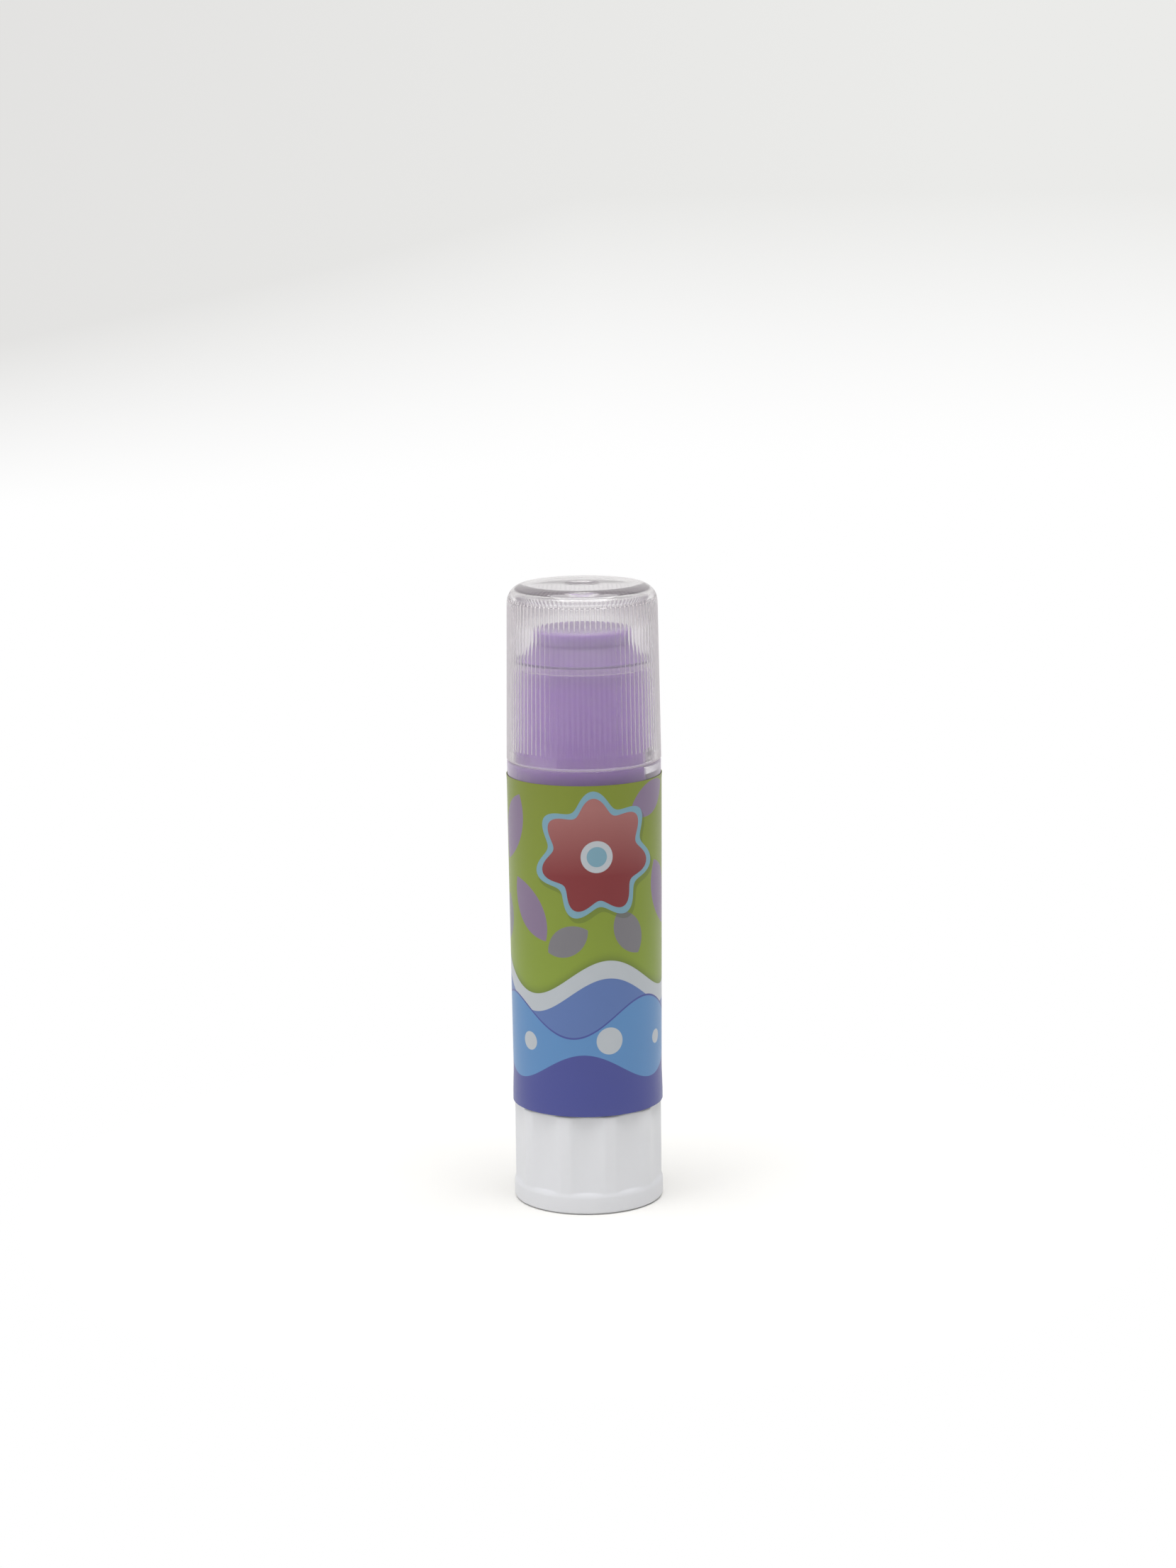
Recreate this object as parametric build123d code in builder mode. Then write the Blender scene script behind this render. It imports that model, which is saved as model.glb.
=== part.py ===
from build123d import *
import math
import os

# Glue stick: a clear cap ribbed inside, a clear barrel in a printed sleeve, and a fluted twist knob
# whose screw winds a cup of gel up and down. Millimetres, +Z up, origin at the centre of the foot.

# Heights of the stacked pieces
knob_height = 13.9
body_length = 48.2
neck_length = 14.0
cap_height = 24.1
seat_gap = 0.1

# Barrel: its radius under the shoulder, what the draft takes off, the flare at its foot, the neck
body_radius = 10.58
body_draft = 0.33
body_ease = 0.02
foot_flare = 0.11
foot_band = 1.3
foot_flare_length = 3.2
neck_wall = 0.6
neck_step = 0.12
neck_draft = 0.12
lip_height = 1.1

# Rails inside the barrel, which keep the follower from turning
rail_count = 2
rail_width = 1.2
rail_height = 0.5
rail_recess = 7.7
rail_start_gap = 0.3

# Printed film round the barrel
label_height = 46.19
label_foot_margin = 0.05
label_thickness = 0.06
label_adhesive = 0.03

# Cap
cap_overhang = 0.04
cap_draft = 0.37
cap_ease = 0.02
cap_wall = 1.0
cap_roof = 1.2
crown_round = 2.5
ceiling_bevel = 0.8
rim_bevel = 0.3
rim_band = 1.6
rim_relief = 0.05
rib_count = 84
rib_height = 0.15
dimple_radius = 2.6
dimple_slope = 0.9
dimple_depth = 0.3

# Knob
grip_inset = 0.05
flute_count = 10
flute_depth = 0.55
flute_radius = 9.0
flute_start_angle = -91.0
crest_round = 0.6
flange_step = 0.2
flange_height = 3.2
flange_round = 0.9
foot_bevel = 0.3
knob_wall = 1.0
knob_disc = 1.4
hub_radius = 3.6
hub_lift = 2.0

# Snap collar on top of the knob
collar_height = 5.0
collar_wall = 1.0
bead_rise = 0.35
bead_height = 0.8
bead_level = 2.2

# Lead screw
spindle_radius = 2.75
spindle_recess = 8.2
spindle_bevel = 0.6
spindle_foot_radius = 4.5
spindle_foot_height = 1.0
tail_width = 3.4
tail_rise = 0.6

# Follower
cup_height = 7.0
cup_wall = 0.9
cup_floor = 1.2
nut_radius = 3.8

# Gel
tip_rise = 4.2
tip_height = 2.0
tip_step = 2.1
tip_shoulder_drop = 0.5
tip_bevel = 0.4

# Travel of the gel below its resting height, running clearances, and one overrun for cuts
retract_travel = 6.0
stop_gap = 0.5
cap_fit = 0.05
slide_fit = 0.1
thread_fit = 0.1
press_gap = 0.03
end_gap = 0.3
overrun = 1.0

# Flats that stand for a quarter round
round_steps = 3

os.makedirs("parts", exist_ok=True)

# Levels
foot_z = knob_height + seat_gap
shoulder_z = foot_z + body_length
mouth_z = shoulder_z + neck_length
rim_z = shoulder_z + seat_gap
top_z = rim_z + cap_height
collar_z = knob_height + collar_height
cup_z = collar_z + stop_gap + retract_travel
cup_top_z = cup_z + cup_height
spindle_top_z = mouth_z - spindle_recess
gel_top_z = mouth_z + tip_rise


# Radii, from the outside in
def cap_outside(z):
    return body_radius + cap_overhang - cap_draft * (z - rim_z) / cap_height


def cap_inside(z):
    return cap_outside(z) - cap_wall


def neck_outside(z):
    return cap_inside(z) - rib_height - cap_fit


bore_radius = neck_outside(mouth_z) - neck_wall
gel_radius = bore_radius - slide_fit
cup_bore = gel_radius - cup_wall
notch_radius = bore_radius - rail_height - slide_fit
notch_width = rail_width + 2 * slide_fit
screw_bore = spindle_radius + thread_fit
collar_radius = bore_radius - slide_fit
waist_radius = body_radius - body_draft
foot_radius = waist_radius + foot_flare
grip_radius = waist_radius - grip_inset
flange_radius = grip_radius + flange_step
knob_bore = grip_radius - flute_depth - knob_wall

# The barrel's outline from foot to shoulder, which the film follows
flare_z = foot_z + foot_band
waist_z = flare_z + foot_flare_length
label_foot_z = foot_z + label_foot_margin
label_top_z = label_foot_z + label_height


def round_over(radius, z, size):
    """Points of a quarter round from a side at this radius up to a flat at this height."""
    turns = [math.pi / 2 * step / round_steps for step in range(round_steps + 1)]
    return [(radius - size + size * math.cos(turn), z - size + size * math.sin(turn)) for turn in turns]


def body_side(gap):
    """The barrel's side from foot to shoulder, moved out by gap."""
    middle = ((waist_radius + body_radius) / 2 + body_ease + gap, (waist_z + shoulder_z) / 2)
    Polyline((foot_radius + gap, foot_z), (foot_radius + gap, flare_z), (waist_radius + gap, waist_z))
    Bezier((waist_radius + gap, waist_z), middle, (body_radius + gap, shoulder_z))


# Barrel: drafted tube, stepped neck with a lip, snap groove at its foot, two rails inside
lip_z = mouth_z - lip_height
bead_z = knob_height + bead_level
rail_z = collar_z + rail_start_gap
rail_top_z = mouth_z - rail_recess

with BuildPart() as barrel:
    with BuildSketch(Plane.XZ):
        with BuildLine():
            body_side(0)
            Line((body_radius, shoulder_z), (neck_outside(shoulder_z) - neck_step, shoulder_z))
            Bezier(
                (neck_outside(shoulder_z) - neck_step, shoulder_z),
                (neck_outside(shoulder_z) - neck_draft - neck_step, (shoulder_z + lip_z) / 2),
                (neck_outside(lip_z) - neck_step, lip_z),
            )
            Polyline(
                (neck_outside(lip_z) - neck_step, lip_z),
                (neck_outside(mouth_z), lip_z),
                (neck_outside(mouth_z), mouth_z),
                (bore_radius, mouth_z),
                (bore_radius, foot_z),
                (foot_radius, foot_z),
            )
        make_face()
    revolve(axis=Axis.Z)
    with BuildSketch(Plane.XY.offset(bead_z - slide_fit)):
        Circle(bore_radius + bead_rise)
        Circle(bore_radius - overrun, mode=Mode.SUBTRACT)
    extrude(amount=bead_height + 2 * slide_fit, mode=Mode.SUBTRACT)
    with BuildSketch(Plane.XY.offset(rail_z)):
        with PolarLocations(bore_radius - rail_height, rail_count):
            Rectangle(rail_height + neck_wall / 2, rail_width, align=(Align.MIN, Align.CENTER))
    extrude(amount=rail_top_z - rail_z)
barrel.part.label = "barrel"
export_step(barrel.part, "parts/barrel.step")

# Label: a film of even thickness that follows the barrel's side
film_face = label_adhesive + label_thickness

with BuildPart() as label:
    with BuildSketch(Plane.XZ):
        with BuildLine():
            body_side(label_adhesive)
            body_side(film_face)
            Line((foot_radius + label_adhesive, foot_z), (foot_radius + film_face, foot_z))
            Line((body_radius + label_adhesive, shoulder_z), (body_radius + film_face, shoulder_z))
        make_face()
    revolve(axis=Axis.Z)
    split(bisect_by=Plane.XY.offset(label_foot_z), keep=Keep.TOP)
    split(bisect_by=Plane.XY.offset(label_top_z), keep=Keep.BOTTOM)
label.part.label = "label"
export_step(label.part, "parts/label.step")

# Cap: a drafted shell, smooth outside, with fine upright ribs inside between the rim band and the roof
ceiling_z = top_z - cap_roof
crown_z = top_z - crown_round
side_z = (rim_z + crown_z) / 2
rib_z = rim_z + rim_band
rib_top_z = ceiling_z - ceiling_bevel
ceiling_radius = cap_inside(rib_top_z) - rib_height - cap_fit


def rib_ring(z):
    ring = []
    for step in range(2 * rib_count):
        angle = math.pi * step / rib_count
        radius = cap_inside(z) - rib_height * (step % 2)
        ring.append((radius * math.cos(angle), radius * math.sin(angle)))
    return ring


with BuildPart() as cap:
    with BuildSketch(Plane.XZ):
        with BuildLine():
            Bezier(
                (cap_outside(rim_z), rim_z + rim_bevel),
                (cap_outside(side_z) + cap_ease, side_z),
                (cap_outside(crown_z), crown_z),
            )
            Polyline(
                *round_over(cap_outside(crown_z), top_z, crown_round),
                (0, top_z),
                (0, rim_z),
                (cap_outside(rim_z) - rim_bevel, rim_z),
                (cap_outside(rim_z), rim_z + rim_bevel),
            )
        make_face()
    revolve(axis=Axis.Z)
    with BuildSketch(Plane.XZ):
        with BuildLine():
            Polyline(
                (0, rim_z - overrun),
                (cap_inside(rim_z) + rim_relief, rim_z - overrun),
                (cap_inside(rim_z) + rim_relief, rib_z),
                (0, rib_z),
                close=True,
            )
        make_face()
    revolve(axis=Axis.Z, mode=Mode.SUBTRACT)
    for z in (rib_z, rib_top_z):
        with BuildSketch(Plane.XY.offset(z)):
            with BuildLine():
                Polyline(*rib_ring(z), close=True)
            make_face()
    loft(ruled=True, mode=Mode.SUBTRACT)
    with BuildSketch(Plane.XZ):
        with BuildLine():
            Polyline(
                (0, rib_top_z),
                (ceiling_radius, rib_top_z),
                (ceiling_radius - ceiling_bevel, ceiling_z),
                (0, ceiling_z),
                close=True,
            )
        make_face()
    revolve(axis=Axis.Z, mode=Mode.SUBTRACT)
    with BuildSketch(Plane.XZ):
        with BuildLine():
            Polyline(
                (0, top_z),
                (dimple_radius, top_z),
                (dimple_radius - dimple_slope, top_z - dimple_depth),
                (0, top_z - dimple_depth),
                close=True,
            )
        make_face()
    revolve(axis=Axis.Z, mode=Mode.SUBTRACT)
cap.part.label = "cap"
export_step(cap.part, "parts/cap.step")

# Knob: fluted grip on a rounded flange, hollow from below, with a snap collar for the barrel
under_z = knob_height - knob_disc
flute_centre = grip_radius - flute_depth + flute_radius

with BuildPart() as knob:
    with BuildSketch(Plane.XZ):
        with BuildLine():
            Polyline(
                (0, 0),
                (flange_radius - foot_bevel, 0),
                (flange_radius, foot_bevel),
                *round_over(flange_radius, flange_height, flange_round),
                (0, flange_height),
                close=True,
            )
        make_face()
    revolve(axis=Axis.Z)
    with BuildSketch(Plane.XY.offset(flange_height / 2)):
        Circle(grip_radius)
        with PolarLocations(flute_centre, flute_count, start_angle=flute_start_angle):
            Circle(flute_radius, mode=Mode.SUBTRACT)
        fillet(vertices(), crest_round)
    extrude(amount=knob_height - flange_height / 2)
    with BuildSketch(Plane.XZ):
        with BuildLine():
            Polyline(
                (0, -overrun),
                (knob_bore, -overrun),
                (knob_bore, under_z),
                (hub_radius, under_z),
                (hub_radius, hub_lift),
                (0, hub_lift),
                close=True,
            )
        make_face()
    revolve(axis=Axis.Z, mode=Mode.SUBTRACT)
    with BuildSketch(Plane.XZ):
        with BuildLine():
            Polyline(
                (collar_radius - collar_wall, knob_height),
                (collar_radius, knob_height),
                (collar_radius, bead_z),
                (collar_radius + bead_rise, bead_z),
                (collar_radius, bead_z + bead_height),
                (collar_radius, collar_z),
                (collar_radius - collar_wall, collar_z),
                close=True,
            )
        make_face()
    revolve(axis=Axis.Z)
    with BuildSketch(Plane.XY.offset(knob_height)):
        Rectangle(tail_width + 2 * press_gap, tail_width + 2 * press_gap)
    extrude(amount=hub_lift - overrun - knob_height, mode=Mode.SUBTRACT)
knob.part.label = "knob"
export_step(knob.part, "parts/knob.step")

# Lead screw: its square tail is pressed into the knob's hub; the thread's crests have this radius
with BuildPart() as spindle:
    with BuildSketch(Plane.XY.offset(knob_height)):
        Circle(spindle_radius)
    extrude(amount=spindle_top_z - knob_height)
    chamfer(spindle.edges().filter_by(GeomType.CIRCLE).sort_by(Axis.Z)[-1], spindle_bevel)
    with BuildSketch(Plane.XY.offset(knob_height)):
        Circle(spindle_foot_radius)
    extrude(amount=spindle_foot_height)
    with BuildSketch(Plane.XY.offset(knob_height)):
        Rectangle(tail_width, tail_width)
    extrude(amount=hub_lift - tail_rise - knob_height)
spindle.part.label = "spindle"
export_step(spindle.part, "parts/spindle.step")

# Follower: the cup that carries the gel, its nut boss on the screw and its notches on the rails
nut_z = cup_z - collar_height + spindle_foot_height

with BuildPart() as follower:
    with BuildSketch(Plane.XZ):
        with BuildLine():
            Polyline(
                (screw_bore, nut_z),
                (nut_radius, nut_z),
                (nut_radius, cup_z),
                (gel_radius, cup_z),
                (gel_radius, cup_top_z),
                (cup_bore, cup_top_z),
                (cup_bore, cup_z + cup_floor),
                (screw_bore, cup_z + cup_floor),
                close=True,
            )
        make_face()
    revolve(axis=Axis.Z)
    with BuildSketch(Plane.XY.offset(cup_z)):
        with PolarLocations(notch_radius, rail_count):
            Rectangle(gel_radius, notch_width, align=(Align.MIN, Align.CENTER))
    extrude(amount=cup_height, mode=Mode.SUBTRACT)
follower.part.label = "follower"
export_step(follower.part, "parts/follower.step")

# Gel: cast round the screw, seated in the cup, with a stepped tip that stands out of the neck
gel_z = cup_z + cup_floor
screw_hole_z = spindle_top_z + retract_travel + end_gap
tip_radius = gel_radius - tip_step
tip_z = gel_top_z - tip_height
gel_shoulder_z = mouth_z - tip_shoulder_drop

with BuildPart() as glue_stick:
    with BuildSketch(Plane.XZ):
        with BuildLine():
            Polyline(
                (screw_bore, gel_z),
                (cup_bore - press_gap, gel_z),
                (cup_bore - press_gap, cup_top_z),
                (gel_radius, cup_top_z),
                (gel_radius, gel_shoulder_z),
                (tip_radius, tip_z),
                (tip_radius, gel_top_z - tip_bevel),
                (tip_radius - tip_bevel, gel_top_z),
                (0, gel_top_z),
                (0, screw_hole_z),
                (screw_bore, screw_hole_z),
                close=True,
            )
        make_face()
    revolve(axis=Axis.Z)
    with BuildSketch(Plane.XY.offset(cup_top_z)):
        with PolarLocations(notch_radius, rail_count):
            Rectangle(gel_radius, notch_width, align=(Align.MIN, Align.CENTER))
    extrude(amount=rail_top_z + retract_travel + end_gap - cup_top_z, mode=Mode.SUBTRACT)
glue_stick.part.label = "glue_stick"
export_step(glue_stick.part, "parts/glue_stick.step")
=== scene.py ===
"""Looks of a small glue stick: clear ribbed cap, clear barrel in a printed film, violet gel and white knob.

Sizes are in millimetres. +Z is up along the stick, and -Y is the side that the photograph shows.
"""

import math

import bpy
import numpy as np
from mathutils import Matrix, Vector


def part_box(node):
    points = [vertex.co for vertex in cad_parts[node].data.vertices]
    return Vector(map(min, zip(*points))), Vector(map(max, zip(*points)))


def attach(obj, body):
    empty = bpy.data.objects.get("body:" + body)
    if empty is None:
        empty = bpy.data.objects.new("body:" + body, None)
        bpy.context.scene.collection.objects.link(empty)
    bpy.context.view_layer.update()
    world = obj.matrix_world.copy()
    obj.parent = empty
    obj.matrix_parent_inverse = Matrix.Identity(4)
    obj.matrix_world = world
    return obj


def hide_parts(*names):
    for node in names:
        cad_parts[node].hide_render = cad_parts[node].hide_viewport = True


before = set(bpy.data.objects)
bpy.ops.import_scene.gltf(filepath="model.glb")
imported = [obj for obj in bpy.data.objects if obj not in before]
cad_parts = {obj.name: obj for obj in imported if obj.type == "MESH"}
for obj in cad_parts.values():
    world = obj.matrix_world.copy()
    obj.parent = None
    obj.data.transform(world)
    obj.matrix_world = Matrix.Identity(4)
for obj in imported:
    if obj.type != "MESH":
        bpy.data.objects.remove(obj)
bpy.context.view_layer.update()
scene = bpy.context.scene
scene.view_settings.view_transform = "Standard"


# Camera: half a metre in front of the stick and a little above it, held almost level. The ellipses of the
# rims gave its height and pitch, and the stick's slight lean in the picture gave its roll.
MM = 0.001
photo_height_px = 2212
focal_length_px = 4867.6
sensor_long_side = 36.0
nearest_seen = 10.0
camera_place = (0.51, -466.45, 147.08)
camera_pitch = 0.1876
camera_roll = -0.0118

camera_data = bpy.data.cameras.new("camera")
camera_data.sensor_width = sensor_long_side
camera_data.lens = focal_length_px / photo_height_px * sensor_long_side
camera_data.clip_start = MM * nearest_seen
camera = bpy.data.objects.new("camera", camera_data)
camera.matrix_world = (
    Matrix.Translation([MM * side for side in camera_place])
    @ Matrix.Rotation(math.pi / 2 - camera_pitch, 4, "X")
    @ Matrix.Rotation(camera_roll, 4, "Z")
)
scene.collection.objects.link(camera)
scene.camera = camera


# Knob: a white polypropylene moulding with ten wide flutes above a rounded flange. It is hollow from below,
# with a hub for the lead screw, and its collar's bead snaps into the barrel's foot, so that it turns there.
knob_height = 13.9
grip_radius = 10.2
grip_top_round = 0.35
grip_top_shares = (0.7, 0.4, 0.15, 0.03, 0.0)
flange_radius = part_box("knob")[1].x / MM
flange_height = 3.2
flange_round = 1.0
foot_round = 0.6
flute_count = 10
flute_depth = 0.55
flute_radius = 9.0
flute_start = math.radians(-91.0)
flute_run_out = 3.0
flute_foot_share = 0.5
crest_round = 0.2
ledge_fillet = 0.12
ledge_overrun = 0.1
knob_bore = 8.65
hub_radius = 3.6
hub_foot = 2.0
under_disc = 12.5
collar_radius = 8.507
collar_bore = 7.507
collar_top = 18.9
bead_rise = 0.35
bead_foot = 16.1
bead_height = 0.8
edge_round = 0.12
ledge_rows = 16
grip_rows = 5
knob_steps = 720


def rounded(corners, closed=False, steps=6):
    """Rows (radius, height, share) of an outline whose corners (radius, height, round, share) become arcs."""
    rows = []
    for i, (r, z, curve, share) in enumerate(corners):
        ends = i in (0, len(corners) - 1) and not closed
        if not curve or ends:
            rows.append((r, z, share))
            continue
        here = np.array((r, z))
        back = here - np.array(corners[i - 1][:2])
        ahead = np.array(corners[(i + 1) % len(corners)][:2]) - here
        back, ahead = back / np.hypot(*back), ahead / np.hypot(*ahead)
        bend = math.atan2(back[0] * ahead[1] - back[1] * ahead[0], back @ ahead)
        reach = curve * abs(math.tan(bend / 2))
        inward = np.array((-back[1], back[0])) * math.copysign(1, bend)
        centre = here - back * reach + inward * curve
        for turn in np.linspace(0, bend, steps + 1):
            c, s = math.cos(turn), math.sin(turn)
            arm = -inward * curve
            rows.append((centre[0] + arm[0] * c - arm[1] * s, centre[1] + arm[0] * s + arm[1] * c, share))
    return rows


def turned(name, rows, steps, cut=None, closed=False, sharp=50.0):
    """A form turned round the stick's axis, less what cut(angles, heights) gives, by each row's share."""
    radii, heights, shares = (np.array(column, float)[:, None] for column in zip(*rows))
    angles = np.linspace(0, 2 * math.pi, steps, endpoint=False)[None, :]
    full = np.repeat(radii, steps, axis=1)
    if cut is not None:
        full = full - shares * cut(angles, heights)
    points, rings = [], []
    for row in range(len(rows)):
        if radii[row, 0] == 0:
            rings.append([len(points)] * steps)
            points.append((0.0, 0.0, heights[row, 0] * MM))
            continue
        rings.append(list(range(len(points), len(points) + steps)))
        around = np.stack([full[row] * np.cos(angles[0]), full[row] * np.sin(angles[0])], 1) * MM
        points.extend((x, y, heights[row, 0] * MM) for x, y in around)
    pairs = list(zip(rings, rings[1:])) + ([(rings[-1], rings[0])] if closed else [])
    faces = []
    for low, high in pairs:
        for i in range(steps):
            j = (i + 1) % steps
            faces.append(tuple(dict.fromkeys((low[i], low[j], high[j], high[i]))))
    outline = np.array([row[:2] for row in rows])
    along = np.roll(outline, -1, 0)
    if (outline[:, 0] * along[:, 1] - along[:, 0] * outline[:, 1]).sum() < 0:
        faces = [face[::-1] for face in faces]
    mesh = bpy.data.meshes.new(name)
    mesh.from_pydata(points, [], faces)
    mesh.shade_smooth()
    mesh.set_sharp_from_angle(angle=math.radians(sharp))
    made = bpy.data.objects.new(name, mesh)
    scene.collection.objects.link(made)
    return made


def flutes(angles, heights):
    """How far the flutes cut into the grip, with rounded crests. They get shallower towards the flange."""
    centre = grip_radius - flute_depth + flute_radius
    pitch = 2 * math.pi / flute_count
    off = (angles - flute_start + pitch / 2) % pitch - pitch / 2
    flute = centre * np.cos(off) - np.sqrt(flute_radius**2 - (centre * np.sin(off)) ** 2)
    blend = np.clip(0.5 + (flute - grip_radius) / (2 * crest_round), 0, 1)
    soft = flute * (1 - blend) + grip_radius * blend - crest_round * blend * (1 - blend)
    run = np.clip((heights - flange_height) / flute_run_out, 0, 1)
    return (grip_radius - soft) * (flute_foot_share + (1 - flute_foot_share) * run)


def grip_and_ledge(angles, heights):
    """How far the side stands in from the flange's edge, over the rounded ledge and up the fluted grip."""
    rise = np.clip(heights - flange_height + flange_round, 0, flange_round)
    ledge = flange_radius - flange_round + np.sqrt(flange_round**2 - rise**2)
    top = np.clip(heights - knob_height + grip_top_round, 0, grip_top_round)
    grip = grip_radius - grip_top_round + np.sqrt(grip_top_round**2 - top**2) - flutes(angles, heights)
    return np.maximum(0, flange_radius - (ledge + grip + np.hypot(ledge - grip, ledge_fillet)) / 2)


class Value:
    """A node's output, which can be used in sums. Each sum adds a Math node."""

    def __init__(self, finish, socket):
        self.finish, self.socket = finish, socket

    def math(self, operation, *others, **settings):
        settings = {"operation": operation, **settings}
        return self.finish.node("Math", settings, dict(enumerate((self, *others))))["Value"]

    def __add__(self, other):
        return self.math("ADD", other)

    def __sub__(self, other):
        return self.math("SUBTRACT", other)

    def __rsub__(self, other):
        return (self * -1).math("ADD", other)

    def __mul__(self, other):
        return self.math("MULTIPLY", other)

    def __truediv__(self, other):
        return self.math("DIVIDE", other)

    def __pow__(self, other):
        return self.math("POWER", other)

    __radd__, __rmul__ = __add__, __mul__

    def clamped(self):
        return self.math("ADD", 0.0, use_clamp=True)


class Finish:
    """A material that is being put together from nodes."""

    def __init__(self, name):
        self.material = bpy.data.materials.new(name)
        self.material.use_nodes = True
        self.tree = self.material.node_tree
        self.tree.nodes.clear()

    def node(self, kind, settings=None, sockets=None):
        """Adds a node, with its settings first and then the values or links of its sockets."""
        made = self.tree.nodes.new("ShaderNode" + kind)
        for name, value in (settings or {}).items():
            setattr(made, name, value)
        named = {s.name: s for s in made.inputs if s.enabled}
        for key, value in (sockets or {}).items():
            socket = made.inputs[key] if isinstance(key, int) else named[key]
            if isinstance(value, Value):
                self.tree.links.new(value.socket, socket)
            else:
                socket.default_value = value
        return {s.name: Value(self, s) for s in made.outputs if s.enabled}

    def place(self):
        """Where a point of the object is along X, Y and Z, in millimetres."""
        found = self.node("SeparateXYZ", None, {"Vector": self.node("TexCoord")["Object"]})
        return [found[axis] / MM for axis in "XYZ"]

    def noise(self, scale, detail):
        """Noise from 0 to 1 over the object, with about this many features to the metre."""
        place = self.node("TexCoord")["Object"]
        return self.node("TexNoise", None, {"Vector": place, "Scale": scale, "Detail": detail})["Fac"]

    def mix(self, share, under, over):
        return self.node("Mix", {"data_type": "RGBA"}, {"Factor": share, "A": under, "B": over})["Result"]

    def bump(self, height, relief):
        """Normals of a relief that is this many millimetres high."""
        return self.node("Bump", None, {"Height": height, "Distance": relief * MM, "Strength": 1.0})["Normal"]

    def shader(self, sockets):
        return self.node("BsdfPrincipled", None, sockets)["BSDF"]

    def on(self, piece, shader):
        """Ends the material with this shader and puts it on the piece."""
        self.node("OutputMaterial", None, {"Surface": shader})
        piece.data.materials.clear()
        piece.data.materials.append(self.material)


def ink(red, green, blue):
    """A colour as it is seen on a screen, from 0 to 255, in the light's own scale."""
    scaled = [c / 255 for c in (red, green, blue)]
    return tuple(c / 12.92 if c <= 0.04045 else ((c + 0.055) / 1.055) ** 2.4 for c in scaled) + (1.0,)


def white_moulding(name, piece, roughness):
    """White polypropylene, satin as it leaves the mould, with a trace of sink and fine spark-eroded grain."""
    finish = Finish(name)
    cloud = finish.noise(90, 3)
    sink = finish.noise(450, 2)
    grain = finish.noise(9000, 2)
    shader = finish.shader(
        {
            "Base Color": finish.mix(cloud, ink(226, 227, 231), ink(231, 232, 236)),
            "Roughness": roughness + cloud * 0.08,
            "Normal": finish.bump(grain * 0.6 + sink * 1.5, 0.01),
            "IOR": 1.49,
            "Subsurface Weight": 0.12,
            "Subsurface Radius": (0.8, 0.8, 0.8),
            "Subsurface Scale": MM,
        }
    )
    finish.on(piece, shader)


side_heights = [
    *np.linspace(flange_height - flange_round, flange_height + ledge_overrun, ledge_rows),
    *np.linspace(flange_height + flange_round, knob_height - grip_top_round, grip_rows),
    *(knob_height - grip_top_round * share for share in grip_top_shares),
]
knob = turned(
    "twist_knob",
    rounded(
        [
            (0, hub_foot, 0, 0),
            (hub_radius, hub_foot, edge_round, 0),
            (hub_radius, under_disc, edge_round, 0),
            (knob_bore, under_disc, edge_round, 0),
            (knob_bore, 0, edge_round, 0),
            (flange_radius, 0, foot_round, 0),
            *((flange_radius, z, 0, 1) for z in side_heights),
            (collar_radius, knob_height, 0, 0),
            (collar_radius, bead_foot, 0, 0),
            (collar_radius + bead_rise, bead_foot, edge_round, 0),
            (collar_radius + bead_rise, bead_foot + bead_height / 2, edge_round, 0),
            (collar_radius, bead_foot + bead_height, 0, 0),
            (collar_radius, collar_top, edge_round, 0),
            (collar_bore, collar_top, edge_round, 0),
            (collar_bore, knob_height, edge_round, 0),
            (0, knob_height, 0, 0),
        ]
    ),
    knob_steps,
    grip_and_ledge,
)
white_moulding("knob_polypropylene", knob, 0.42)
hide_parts("knob")
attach(knob, "knob")


# Lead screw: a white moulded rod with a coarse left-hand thread, pressed into the knob's hub by its square
# tail. Turning the knob counter-clockwise, as seen from above, lifts the cup along it by 3 mm a turn.
screw_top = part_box("spindle")[1].z / MM
screw_crest = 2.75
screw_root = 2.1
screw_lead = 3.0
screw_bevel = 0.6
screw_foot_radius = 4.5
screw_foot_top = knob_height + 1.0
tail_half = 1.7
tail_corner = tail_half * math.sqrt(2)
tail_foot = 2.6
thread_flat_share = 0.28
thread_rows_a_turn = 16
screw_steps = 64


def thread_and_tail(angles, heights):
    """The thread's depth along the rod, and below the knob's disc what makes the tail square."""
    phase = (angles / (2 * math.pi) + heights / screw_lead) % 1.0
    flank = (np.abs(phase - 0.5) * 2 - thread_flat_share) / (1 - 2 * thread_flat_share)
    thread = (screw_crest - screw_root) * np.clip(flank, 0, 1)
    side = tail_half / np.maximum(np.abs(np.cos(angles)), np.abs(np.sin(angles)))
    return np.where(heights > knob_height, thread, tail_corner - side)


thread_foot, thread_top = screw_foot_top + edge_round, screw_top - screw_bevel
thread_rows = round((thread_top - screw_foot_top) / screw_lead * thread_rows_a_turn)
screw = turned(
    "lead_screw",
    [
        (0, tail_foot, 0),
        (tail_corner, tail_foot, 1),
        (tail_corner, knob_height, 1),
        (screw_foot_radius, knob_height, 0),
        (screw_foot_radius, screw_foot_top, 0),
        (screw_crest, screw_foot_top, 0),
        *((screw_crest, z, 1) for z in np.linspace(thread_foot, thread_top, thread_rows)),
        (screw_crest - screw_bevel, screw_top, 0),
        (0, screw_top, 0),
    ],
    screw_steps,
    thread_and_tail,
    sharp=35.0,
)
white_moulding("screw_polypropylene", screw, 0.38)
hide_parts("spindle")
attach(screw, "knob")


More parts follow.
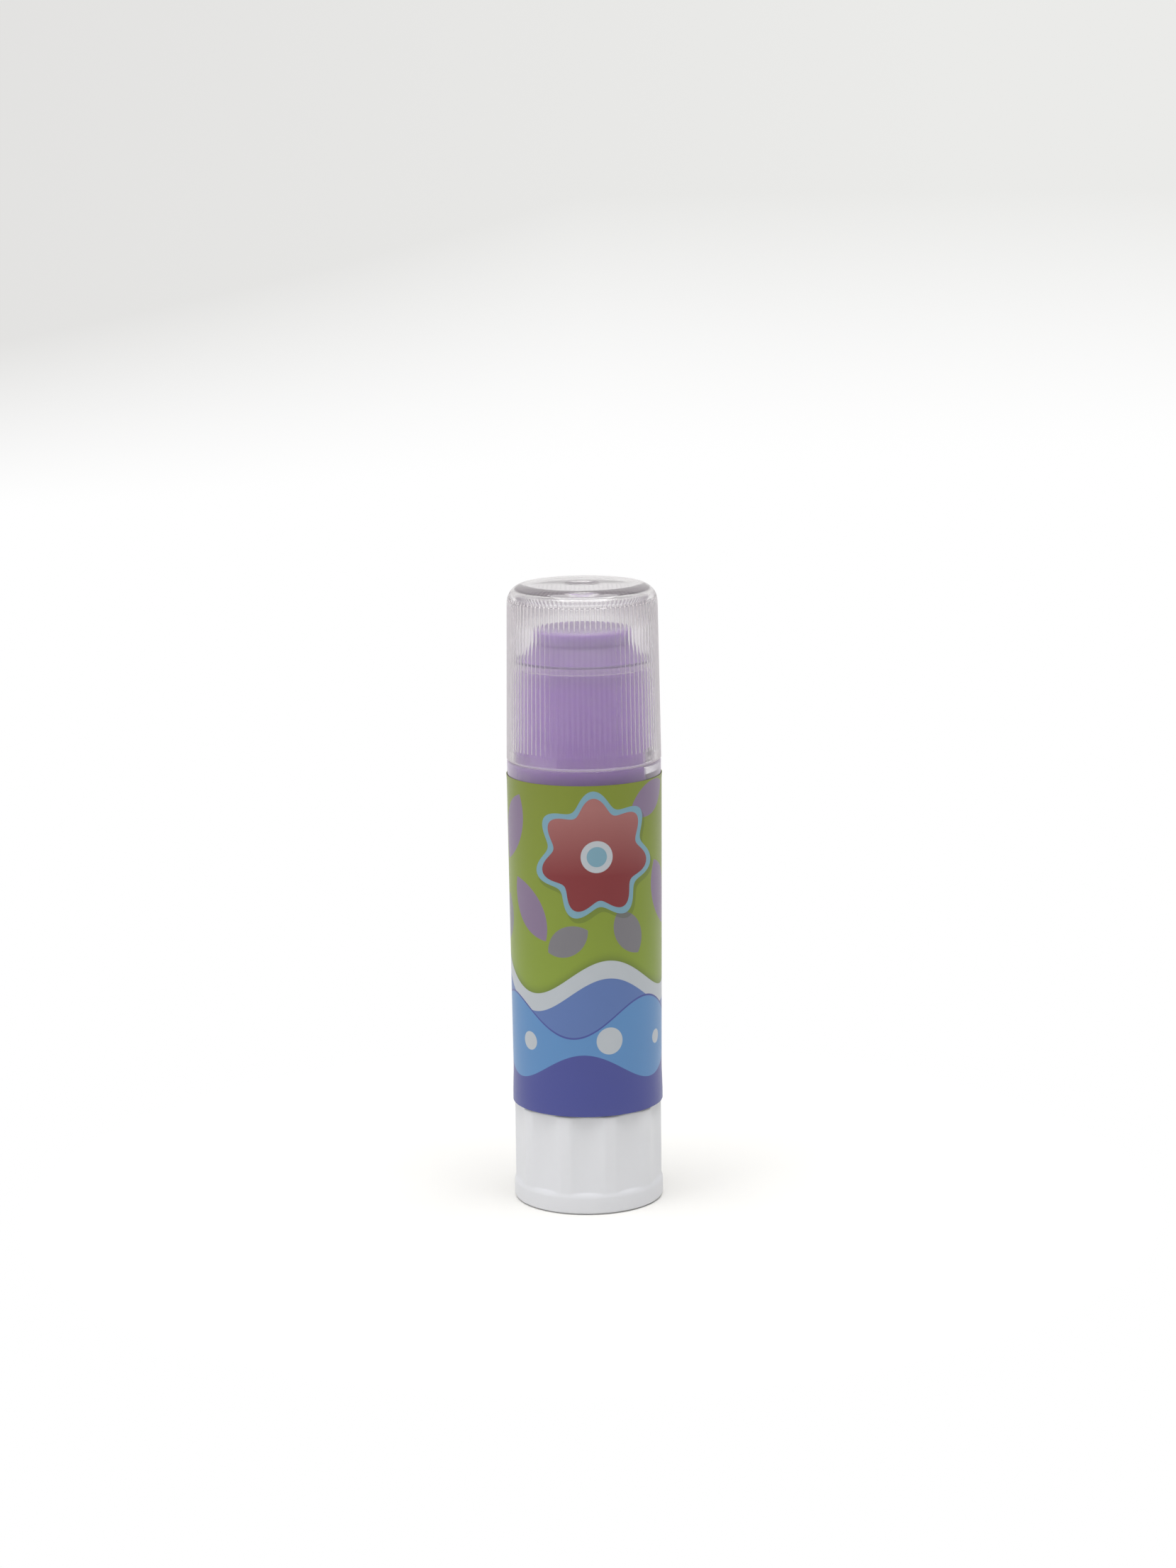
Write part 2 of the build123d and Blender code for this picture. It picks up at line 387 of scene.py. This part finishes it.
# Barrel: a clear polystyrene tube, drafted and polished inside and out. Its neck steps in for the cap and
# ends in a thicker lip, and the printed film covers the rest of it but for a narrow band at the top.
barrel_foot = 14.0
barrel_flare = 15.3
barrel_waist = 18.5
shoulder = 62.2
mouth = 76.2
lip = 75.1
foot_radius = 10.36
waist_radius = 10.25
body_radius = 10.58
body_ease = 0.02
neck_foot_radius = 9.358
neck_top_radius = 9.16
lip_radius = 9.28
lip_top_radius = 9.263
bore_radius = 8.607
foot_edge_round = 0.1
flare_round = 0.4
shoulder_round = 0.25
shoulder_run = 0.5
neck_fillet = 0.15
lip_fillet = 0.05
lip_foot_round = 0.08
mouth_round = 0.2
bore_round = 0.15
soft_edge = 0.1
milky_foot = 59.0
milky_foot_run = 0.5
milky_overrun = 0.05
shoulder_edge_low = 0.35
shoulder_edge_high = 0.15
lip_line = 0.12
mouth_edge = 0.32
wall_rows = 12
wall_steps = 384


def barrel_side(height):
    """The barrel's radius at a height: a flare at the foot, a waist, and a slow draft out to the shoulder."""
    fall = (height - barrel_flare) / (barrel_waist - barrel_flare)
    flare = foot_radius + (waist_radius - foot_radius) * fall
    run = np.clip((height - barrel_waist) / (shoulder - barrel_waist), 0, 1)
    draft = waist_radius + (body_radius - waist_radius) * run + 2 * body_ease * run * (1 - run)
    return np.where(height < barrel_flare, foot_radius, np.where(height < barrel_waist, flare, draft))


def above(value, level, run):
    """0 up to the level, and from there a rise to 1 over this run."""
    return ((value - level) / run).clamped()


def below(value, level, run):
    """0 down to the level, and from there a rise to 1 over this run."""
    return ((level - value) / run).clamped()


def clear_plastic(name, piece, colour, haze, edge_haze, milk_and_painted_light):
    """Clear polystyrene with haze in it, more where it is seen edge on.

    The last argument, called with (finish, edge_on), gives the share and the colour of what is milkier
    still, and of painted highlights and painted shade. Lamps and the room's light shine through the
    plastic, so what it holds is lit.
    """
    finish = Finish(name)
    cloud = finish.noise(160, 3)
    glass = finish.shader(
        {
            "Base Color": colour,
            "Transmission Weight": 1.0,
            "IOR": 1.5,
            "Roughness": cloud * 0.02,
        }
    )
    edge_on = finish.node("LayerWeight", None, {"Blend": 0.5})["Facing"] ** 1.5
    extra_share, tint = milk_and_painted_light(finish, edge_on)
    haze_and_painted_light_layer = finish.shader({"Base Color": tint, "Roughness": 0.35, "IOR": 1.5})
    share = (edge_on * edge_haze + haze) * (cloud * 0.5 + 0.75) + extra_share
    body = finish.node("MixShader", None, {"Fac": share.clamped(), 1: glass, 2: haze_and_painted_light_layer})["Shader"]
    rays = finish.node("LightPath")
    through = finish.node("BsdfTransparent", None, {"Color": colour})["BSDF"]
    for ray in ("Is Diffuse Ray", "Is Shadow Ray"):
        body = finish.node("MixShader", None, {"Fac": rays[ray], 1: body, 2: through})["Shader"]
    finish.on(piece, body)


def shoulder_and_lip_haze_and_painted_light(finish, edge_on):
    """The unprinted band and the lip a little hazy, painted highlights on the shoulder's edge and just under
    the lip, and painted shade that darkens the mouth's edge.
    """
    up = finish.place()[2]
    band = above(up, milky_foot, milky_foot_run) * below(up, shoulder + milky_overrun, soft_edge)
    # Painted highlight: a pale band on the shoulder's edge.
    edge = above(up, shoulder - shoulder_edge_low, soft_edge)
    edge = edge * below(up, shoulder + shoulder_edge_high, soft_edge)
    around_lip = above(up, lip - soft_edge, soft_edge)
    # Painted highlight: a pale line just under the lip.
    lip_highlight_line = (1 - (up - lip).math("ABSOLUTE") / lip_line).clamped()
    # Painted shade: dark violet on the mouth's edge.
    mouth_shade = above(up, mouth - mouth_edge, soft_edge)
    share = band * (edge_on * 0.8 + 0.02) + edge * 0.12
    share = share + around_lip * 0.06 + lip_highlight_line * 0.35 + mouth_shade * 0.6
    tint = finish.mix(band, ink(228, 224, 226), ink(188, 177, 196))
    return share, finish.mix(mouth_shade, tint, ink(96, 80, 118))


wall_heights = np.linspace(barrel_waist, shoulder - shoulder_run, wall_rows)
barrel = turned(
    "clear_barrel",
    rounded(
        [
            (bore_radius, barrel_foot, foot_edge_round, 0),
            (foot_radius, barrel_foot, foot_edge_round, 0),
            (foot_radius, barrel_flare, flare_round, 0),
            *((float(barrel_side(z)), z, 0, 0) for z in wall_heights),
            (body_radius, shoulder, shoulder_round, 0),
            (neck_foot_radius, shoulder, neck_fillet, 0),
            (neck_top_radius, lip, lip_fillet, 0),
            (lip_radius, lip, lip_foot_round, 0),
            (lip_top_radius, mouth, mouth_round, 0),
            (bore_radius, mouth, bore_round, 0),
        ],
        closed=True,
    ),
    wall_steps,
    closed=True,
    sharp=30.0,
)
clear_plastic("barrel_polystyrene", barrel, (0.97, 0.965, 0.97, 1.0), 0.02, 0.12, shoulder_and_lip_haze_and_painted_light)
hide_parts("barrel")
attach(barrel, "barrel")


# Label: a printed polypropylene film wrapped once round the barrel and overlapped at the back. Its generic
# print has flowers, petals and leaves on green above three waves, in the colours and scale of such labels.
film_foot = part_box("label")[0].z / MM
film_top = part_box("label")[1].z / MM
film_gap = 0.03
film_thickness = 0.06
film_overlap = 2.2
film_end_run = 0.08
film_lift = 0.05
film_lift_height = 0.6
film_rows = 48

# Painted light: the green is lighter towards the foot of the label and darker towards its top.
lime_low, lime_top, lime_shaded = ink(136, 161, 54), ink(125, 138, 42), ink(70, 84, 40)
indigo, blue_line = ink(71, 77, 148), ink(70, 78, 150)
mid_blue, sky_blue, pale_blue = ink(91, 117, 173), ink(91, 139, 190), ink(120, 160, 178)
red, red_light = ink(128, 44, 47), ink(164, 106, 103)
lilac, grey_leaf, film_white = ink(131, 113, 141), ink(122, 120, 125), ink(185, 191, 197)
lime_painted_light_fade = 46.0
printed_edge = 0.07

# Side, height, length, width and tilt in degrees
lilac_petals = (
    (-12.5, 39.5, 10.5, 5.0, 24),
    (-8.6, 28.6, 10.0, 4.6, -34),
    (10.4, 43.6, 8.5, 4.4, 66),
    (13.5, 30.0, 10.5, 5.0, -22),
    (-27.0, 35.0, 10.5, 5.0, -30),
    (23.5, 41.5, 9.5, 4.8, 48),
    (30.0, 28.5, 9.5, 4.6, -52),
)
grey_leaves = (
    (-2.6, 24.6, 6.6, 4.0, 60),
    (6.2, 25.6, 7.0, 4.2, -28),
    (-15.0, 26.5, 6.8, 4.0, 8),
    (-30.5, 27.0, 7.0, 4.2, 40),
    (20.5, 28.5, 6.8, 4.2, -15),
    (-20.5, 43.5, 6.4, 3.8, 75),
)

# Side, height and scale of each flower. At full scale, the shift of its shadow, and the radius and the
# petals' depth of the shadow, the edge and the face.
flowers = ((1.6, 36.4, 1.16), (-21.5, 34.5, 0.5), (24.5, 34.0, 0.55))
flower_petals = 7
flower_turn = 0.4
flower_shadow = (0.3, -0.5, 7.0, 0.9)
flower_edge = (6.9, 0.9)
flower_face = (6.1, 0.85)
flower_ring = 1.9
flower_eye = 1.2
flower_fade = 8.0

# Level, height and shift of each wave's crest, then side, height and radius of each dot
white_wave = (19.4, 2.5, 2.5)
lower_waves = (
    (16.9, 2.5, 2.5, mid_blue),
    (13.75, 2.6, -3.5, blue_line),
    (13.5, 2.6, -3.5, sky_blue),
    (6.6, 2.1, 6.0, indigo),
)
wave_length = 2 * math.pi * body_radius / 3
wave_shadow = 1.6
dots = ((-9.0, 10.0, 1.3), (3.2, 10.6, 1.9), (12.0, 9.8, 1.0), (-20.0, 10.4, 1.6), (24.5, 10.2, 1.4))


def overlap_and_lift(angles, heights):
    """The second layer where the film's ends overlap at the back, and its top edge's lift at the sides."""
    off = np.abs((angles - math.pi / 2 + math.pi) % (2 * math.pi) - math.pi) * body_radius
    second = film_thickness * np.clip((film_overlap / 2 - off) / film_end_run + 0.5, 0, 1)
    top = np.clip((heights - film_top + film_lift_height) / film_lift_height, 0, 1) ** 2
    return -(second + film_lift * top * np.cos(angles) ** 2)


film_heights = np.linspace(film_foot, film_top, film_rows)
film_back = [(float(barrel_side(z)) + film_gap, z, 1) for z in film_heights]
film_face = [(r + film_thickness, z, share) for r, z, share in film_back]
label = turned("printed_label", [*film_face, *reversed(film_back)], wall_steps, overlap_and_lift, closed=True)

print_ink = Finish("printed_film")
x, y, z = print_ink.place()
around = x.math("ARCTAN2", y * -1) * body_radius
up = z - film_foot


def distance(x, y):
    return (x * x + y * y).math("SQRT")


def within(value, edge):
    """1 where the value is under the edge and 0 where it is over, with a printed edge's softness."""
    return ((edge - value) / printed_edge + 0.5).clamped()


def disc(side, height, radius):
    return within(distance(around - side, up - height), radius)


def flower(side, height, radius, depth):
    x, y = around - side, up - height
    swing = (x.math("ARCTAN2", y) * flower_petals + flower_turn).math("COSINE")
    return within(distance(x, y), radius + swing * depth)


def petal(side, height, length, width, tilt):
    """A leaf shape where two discs overlap, leaning by the tilt."""
    x, y = around - side, up - height
    lean, rise = math.sin(math.radians(tilt)), math.cos(math.radians(tilt))
    along, across = x * lean + y * rise, x * rise - y * lean
    bow = (length * length - width * width) / (4 * width)
    return within(distance(along, across.math("ABSOLUTE") + bow), math.hypot(bow, length / 2))


def wave(level, height, shift):
    """The height of a wave's crest line round the label."""
    return level + ((around + shift) * (2 * math.pi / wave_length)).math("SINE") * height


# Painted light: the green grows darker from the label's foot up to its top.
colour = print_ink.mix((up / lime_painted_light_fade).clamped(), lime_low, lime_top)
for shapes, shape_ink in ((lilac_petals, lilac), (grey_leaves, grey_leaf)):
    for shape in shapes:
        colour = print_ink.mix(petal(*shape), colour, shape_ink)
for side, height, scale in flowers:
    aside, down, radius, depth = (scale * size for size in flower_shadow)
    colour = print_ink.mix(flower(side + aside, height + down, radius, depth) * 0.35, colour, lime_shaded)
    radius, depth = (scale * size for size in flower_edge)
    colour = print_ink.mix(flower(side, height, radius, depth), colour, pale_blue)
    radius, depth = (scale * size for size in flower_face)
    fade = ((up - height) / (flower_fade * scale) + 0.3).clamped()
    petals = print_ink.mix(fade, red, red_light)
    colour = print_ink.mix(flower(side, height, radius, depth), colour, petals)
    colour = print_ink.mix(disc(side, height, flower_ring * scale), colour, film_white)
    colour = print_ink.mix(disc(side, height, flower_eye * scale), colour, pale_blue)
crest = wave(*white_wave)
shade = 1 - above(up, crest, wave_shadow)
colour = print_ink.mix(shade * shade * 0.45, colour, lime_shaded)
colour = print_ink.mix(within(up, crest), colour, film_white)
for level, height, shift, wave_ink in lower_waves:
    colour = print_ink.mix(within(up, wave(level, height, shift)), colour, wave_ink)
for dot in dots:
    colour = print_ink.mix(disc(*dot), colour, film_white)

print_ink.on(
    label,
    print_ink.shader(
        {
            "Base Color": colour,
            "Roughness": 0.3 + print_ink.noise(2500, 3) * 0.12,
            "Normal": print_ink.bump(print_ink.noise(120, 2), 0.08),
            "IOR": 1.45,
        }
    ),
)
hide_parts("label")
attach(label, "barrel")


# Follower: the white moulded cup under the gel, with its nut boss on the screw and a notch over each rail of
# the barrel. The film hides it, so the moulding's own solid stays and gets its plastic.
white_moulding("cup_polypropylene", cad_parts["follower"], 0.42)


# Gel: violet, waxy and slightly see-through, cast into the cup round the screw. It wets most of the bore,
# which spreads its colour across the wall, and stands clear of it at the right, up to just above the
# shoulder. Its tip is stepped and rounded.
gel_radius = 8.507
gel_foot = 26.6
gel_cup_radius = 7.577
gel_cup_top = 32.4
gel_shoulder = 75.7
gel_shoulder_round = 1.2
gel_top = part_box("glue_stick")[1].z / MM
tip_radius = 6.407
tip_taper = 0.15
tip_foot = 78.4
tip_foot_round = 0.8
tip_top_round = 0.55
screw_hole_top = 74.3
screw_hole_radius = 2.85
cup_edge_step = 0.05
cup_edge_run = 0.4
wetting = 0.115
wet_top = 75.2
wet_top_run = 0.1
wet_rows = 60
gap_reach = math.radians(26.5)
gap_side_run = 0.1
gap_top = 63.4
gap_top_run = 0.8
gap_ripple = 0.3
gap_ripples = 9

# Where the violet changes on the way up: the level where it starts to, over which run, and its colour above.
# The last three are painted light: from just under the lip the gel turns darker and greyer as painted shade,
# the tip's side lighter as painted light, and the tip's top darker again as painted shade.
gel_violet, gel_cloud_violet = ink(164, 131, 196), ink(170, 142, 200)
violet_and_painted_light_changes = (
    (61.6, 1.2, ink(164, 126, 200)),
    (wet_top - 2.5, 4.0, ink(150, 130, 172)),
    (tip_foot, 0.4, ink(163, 145, 184)),
    (gel_top - tip_top_round, 0.4, ink(148, 137, 163)),
)


def wetted(angles, heights):
    """Where the gel wets the bore it is as wide as the bore, apart from the gap at the right."""
    off = np.abs((angles + math.pi) % (2 * math.pi) - math.pi)
    beside = np.clip((off - gap_reach) / gap_side_run, 0, 1)
    over = np.clip((heights - gap_top) / gap_top_run + gap_ripple * np.sin(angles * gap_ripples), 0, 1)
    return -wetting * np.maximum(beside, over)


gel = turned(
    "violet_gel",
    [
        (0, screw_hole_top, 0),
        (screw_hole_radius, screw_hole_top, 0),
        (screw_hole_radius, gel_foot, 0),
        (gel_cup_radius, gel_foot, 0),
        (gel_cup_radius, gel_cup_top, 0),
        (gel_radius - cup_edge_step, gel_cup_top, 0),
        *((gel_radius, z, 1) for z in np.linspace(gel_cup_top + cup_edge_run, wet_top, wet_rows)),
        *rounded(
            [
                (gel_radius, wet_top + wet_top_run, 0, 0),
                (gel_radius, gel_shoulder, gel_shoulder_round, 0),
                (tip_radius + tip_taper, tip_foot, tip_foot_round, 0),
                (tip_radius, gel_top, tip_top_round, 0),
                (0, gel_top, 0, 0),
            ]
        )[1:],
    ],
    wall_steps,
    wetted,
)
gel_finish = Finish("violet_gel")
gel_cloud = gel_finish.noise(220, 3)
gel_up = gel_finish.place()[2]
violet = gel_violet
# Painted shade and light on the upper gel and its tip come in with these changes.
for level, run, changed in violet_and_painted_light_changes:
    violet = gel_finish.mix(above(gel_up, level, run), violet, changed)
violet = gel_finish.mix(gel_cloud * 0.25, violet, gel_cloud_violet)
gel_finish.on(
    gel,
    gel_finish.shader(
        {
            "Base Color": violet,
            "Roughness": 0.34 + gel_cloud * 0.1,
            "Normal": gel_finish.bump(gel_finish.noise(600, 3), 0.06),
            "IOR": 1.4,
            "Specular IOR Level": 0.3,
            "Subsurface Weight": 1.0,
            "Subsurface Radius": (1.0, 0.7, 1.2),
            "Subsurface Scale": 2.5 * MM,
        }
    ),
)
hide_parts("glue_stick")
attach(gel, "carrier")


# Cap: clear polystyrene, polished outside, with 84 fine upright ribs moulded inside, which grip the neck's
# lip. Its roof has a shallow dimple round the gate that the plastic came in by.
cap_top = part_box("cap")[1].z / MM
cap_rim = 62.3
cap_rim_radius = 10.62
cap_draft = 0.37
cap_wall = 1.0
cap_roof = 1.2
crown_round = 2.5
ceiling_round = 0.9
rim_bevel = 0.15
rim_relief = 0.05
rib_count = 84
rib_height = 0.15
rib_foot = 63.9
rib_foot_run = 0.02
rib_step = 66.0
rib_step_run = 0.01
rib_step_share = 0.8
rib_top = 84.4
rib_top_run = 0.35
ceiling_edge_drop = 0.3
ridge_height = 0.03
tip_clear = 80.6
haze_run = 1.0
rim_band_run = 0.3
rim_edge = 0.2
dimple_radius = 2.6
dimple_depth = 0.3
dimple_floor_share = 0.6
dimple_edge_round = 0.5
dimple_floor_round = 0.8
cap_steps = rib_count * 10


def cap_outside(height):
    return cap_rim_radius - cap_draft * (height - cap_rim) / (cap_top - cap_rim)


def cap_inside(height):
    return cap_outside(height) - cap_wall


def ribs(angles, heights):
    """The ribs' narrow ridges over the inside of the wall, shallower in the lead-in at their feet."""
    phase = (angles * rib_count / (2 * math.pi)) % 1.0
    return ridge_height * (1 - np.abs(2 * phase - 1)) ** 2 * np.where(heights < rib_step, rib_step_share, 1.0)


def rib_lines_and_rim(finish, edge_on):
    """Painted highlights along the ribs' ridges, seen best at a slant, with painted shade, grey, between them
    above the gel's tip.

    The band is a little hazy, a painted highlight in pale violet lies on the edge of the rim, and the skin is
    hazy where it is seen edge on.
    """
    x, y, up = finish.place()
    turn = y.math("ARCTAN2", x) * (rib_count / (2 * math.pi))
    ridge = 1 - (turn.math("FRACT") * 2 - 1).math("ABSOLUTE")
    inner = below(distance(x, y), cap_outside(up) - cap_wall / 2, soft_edge)
    line = above(ridge, 0.45, 0.35) * inner
    ribbed = above(up, rib_foot, soft_edge) * below(up, rib_top, soft_edge)
    slanting = above(edge_on, 0.018, 0.03) * 0.5
    high = above(up, tip_clear, haze_run) * inner * ribbed
    # Painted highlights: pale stripes on the ribs' ridges, stronger at a slant and above the gel's tip.
    rib_highlights = line * ribbed * (slanting + high * 0.4).clamped()
    band = below(up, rib_foot, rim_band_run) * (edge_on * 0.25 + 0.02)
    # Painted highlight: pale violet on the rim's edge, where it is seen face on.
    edge = below(up, cap_rim + rim_edge, soft_edge)
    skin = above(edge_on, 0.35, 0.4) * below(up, rib_top, haze_run)
    # The painted highlights are near white; above the gel's tip, painted shade in grey lies between them.
    tint = finish.mix(line, ink(192, 184, 191), ink(234, 229, 232))
    tint = finish.mix(high * (1 - line), tint, ink(150, 143, 152))
    tint = finish.mix(edge * (1 - edge_on * 2).clamped(), tint, ink(186, 172, 204))
    return rib_highlights + high * 0.2 + band + edge * 0.5 + skin * 0.72, tint


ceiling = cap_top - cap_roof
ceiling_radius = cap_inside(rib_top) - rib_height
cap = turned(
    "clear_cap",
    [
        *rounded(
            [
                (0, ceiling, 0, 0),
                (ceiling_radius, ceiling, ceiling_round, 0),
                (ceiling_radius, rib_top - ceiling_edge_drop, 0, 0),
            ],
            steps=8,
        ),
        (cap_inside(rib_top - rib_top_run), rib_top - rib_top_run, 1),
        (cap_inside(rib_step + rib_step_run), rib_step + rib_step_run, 1),
        (cap_inside(rib_step - rib_step_run), rib_step - rib_step_run, 1),
        (cap_inside(rib_foot), rib_foot, 1),
        *rounded(
            [
                (cap_inside(rib_foot), rib_foot - rib_foot_run, 0, 0),
                (cap_inside(cap_rim) + rim_relief, cap_rim, rim_bevel, 0),
                (cap_outside(cap_rim), cap_rim, rim_bevel, 0),
                (cap_outside(cap_top - crown_round), cap_top - crown_round, 0, 0),
                (cap_outside(cap_top), cap_top, crown_round, 0),
                (dimple_radius, cap_top, dimple_edge_round, 0),
                (dimple_radius * dimple_floor_share, cap_top - dimple_depth, dimple_floor_round, 0),
                (0, cap_top - dimple_depth, 0, 0),
            ],
            steps=12,
        ),
    ],
    cap_steps,
    ribs,
    sharp=20.0,
)
clear_plastic("cap_polystyrene", cap, (0.955, 0.945, 0.95, 1.0), 0.03, 0.2, rib_lines_and_rim)
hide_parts("cap")
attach(cap, "cap")


# Floor and backdrop: one pale sheet that runs back and curves up behind the stick. Near the stick it is lit
# by the lamps and keeps the shadow. Farther off it is as pale as the picture's, whichever way it is seen.
sheet_width = 3000.0
sheet_front = -1400.0
sheet_bend_start = 900.0
sheet_bend = 500.0
sheet_top = 1600.0
bend_steps = 32
shadow_reach = 30.0
shadow_run = 50.0
back_start = 980.0
back_run = 240.0
back_lean_share = 0.35
tone_start = -320.0
tone_run = 500.0
sheet_white = (1.0, 1.0, 1.0, 1.0)
# Painted shade: far up the back the glow turns grey, darker at the left than at the right.
back_left_painted_shade = (0.765, 0.76, 0.75, 1.0)
back_right_painted_shade = (0.83, 0.83, 0.815, 1.0)
paper_colour = (0.91, 0.9, 0.875, 1.0)

bend = [
    (sheet_bend_start + sheet_bend * math.sin(turn), sheet_bend * (1 - math.cos(turn)))
    for turn in np.linspace(0, math.pi / 2, bend_steps + 1)
]
profile = [(sheet_front, 0.0), *bend, (sheet_bend_start + sheet_bend, sheet_top)]
corners = [(side * sheet_width / 2 * MM, y * MM, z * MM) for y, z in profile for side in (-1, 1)]
strips = [(2 * i, 2 * i + 1, 2 * i + 3, 2 * i + 2) for i in range(len(profile) - 1)]
sheet_mesh = bpy.data.meshes.new("backdrop")
sheet_mesh.from_pydata(corners, [], strips)
sheet_mesh.shade_smooth()
sheet = bpy.data.objects.new("backdrop", sheet_mesh)
scene.collection.objects.link(sheet)

paper = Finish("backdrop_paper")
x, y, _ = paper.place()
# Painted shade: up the back, and more to the left, the glow greys over the white.
back = above(y + (x * -1).math("MAXIMUM", 0.0) * back_lean_share, back_start, back_run)
painted_back_shade = paper.mix(above(x, tone_start, tone_run), back_left_painted_shade, back_right_painted_shade)
glow = paper.mix(back * back, sheet_white, painted_back_shade)
lit = paper.shader({"Base Color": paper_colour, "Roughness": 0.9, "Specular IOR Level": 0.1})
shining = paper.node("Emission", None, {"Color": glow, "Strength": 1.0})["Emission"]
rays = paper.node("LightPath")
seen = (rays["Is Camera Ray"] + rays["Is Glossy Ray"] + rays["Is Transmission Ray"]).clamped()
far = above(distance(x, y), shadow_reach, shadow_run)
paper.on(sheet, paper.node("MixShader", None, {"Fac": seen * far, 1: lit, 2: shining})["Shader"])


# Light: a wide soft panel almost straight above, which makes the shadow round the foot, a weaker one at the
# left, and an even glow from the room.
room_colour = (0.9, 0.9, 0.9, 1.0)
room_strength = 0.32
lamp_aim = (0, 0, 40)
nearly_upright = 0.99

world = bpy.data.worlds.new("room")
world.use_nodes = True
world.node_tree.nodes["Background"].inputs["Color"].default_value = room_colour
world.node_tree.nodes["Background"].inputs["Strength"].default_value = room_strength
scene.world = world


def panel(name, place, size, power):
    """A rectangular lamp at this place, turned towards the middle of the stick."""
    data = bpy.data.lights.new(name, "AREA")
    data.shape = "RECTANGLE"
    data.size, data.size_y = (MM * side for side in size)
    data.energy = power
    lamp = bpy.data.objects.new(name, data)
    start, end = MM * np.array(place, float), MM * np.array(lamp_aim, float)
    away = (start - end) / np.linalg.norm(start - end)
    side = np.cross((0, 0, 1) if abs(away[2]) < nearly_upright else (0, 1, 0), away)
    side /= np.linalg.norm(side)
    stand = np.eye(4)
    stand[:3] = np.array([side, np.cross(away, side), away, start]).T
    lamp.matrix_world = Matrix(stand.tolist())
    scene.collection.objects.link(lamp)


panel("top_panel", (20, -80, 900), (900, 700), 9.0)
panel("left_panel", (-900, -350, 450), (1000, 800), 1.9)
